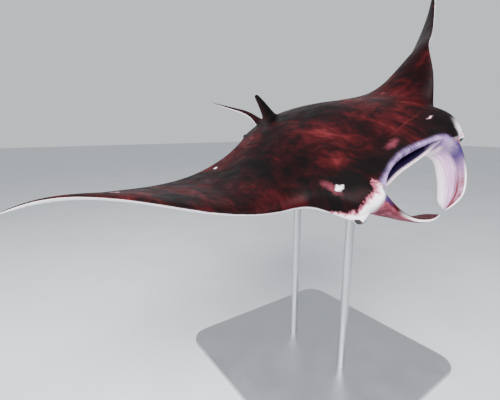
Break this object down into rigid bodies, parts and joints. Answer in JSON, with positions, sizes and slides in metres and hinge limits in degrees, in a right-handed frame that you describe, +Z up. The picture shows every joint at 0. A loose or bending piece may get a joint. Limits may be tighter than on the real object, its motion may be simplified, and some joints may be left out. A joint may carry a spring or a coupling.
{
  "type": "manta ray model",
  "caption": "Life-size reef manta ray gliding with its mouth open and one wing raised, held over a flat base by two short rods.",
  "frame": {"origin": "middle of the stand base's underside", "axes": "+Z up, head towards -Y, the animal's left wing towards +X"},
  "size_m": [2.6556, 2.0061, 2.5516],
  "materials": {
    "hide": "smooth wet hide, near-black maroon with smoky red mottling above and white below",
    "hide_head": "smooth wet hide, maroon above, white and pink round the mouth, lavender inside it",
    "hide_lobe": "smooth wet hide, lavender and white inside, maroon outside",
    "hide_tail": "smooth wet hide, dark above and white below",
    "eye": "glossy dark eye",
    "stand_steel": "satin steel"
  },
  "bodies": {
    "root": {"head": "hide_head", "trunk": "hide", "wing_left_inner": "hide", "wing_left_outer": "hide", "wing_right_inner": "hide", "wing_right_outer": "hide", "cephalic_lobe_left": "hide_lobe", "cephalic_lobe_right": "hide_lobe", "dorsal_fin": "hide", "tail_base": "hide_tail", "tail_middle": "hide_tail", "tail_end": "hide_tail", "pelvic_fin_left": "hide", "pelvic_fin_right": "hide", "eye_left": "eye", "eye_right": "eye", "stand_base": "stand_steel", "stand_rod_front": "stand_steel", "stand_rod_rear": "stand_steel"}
  },
  "joints": []
}
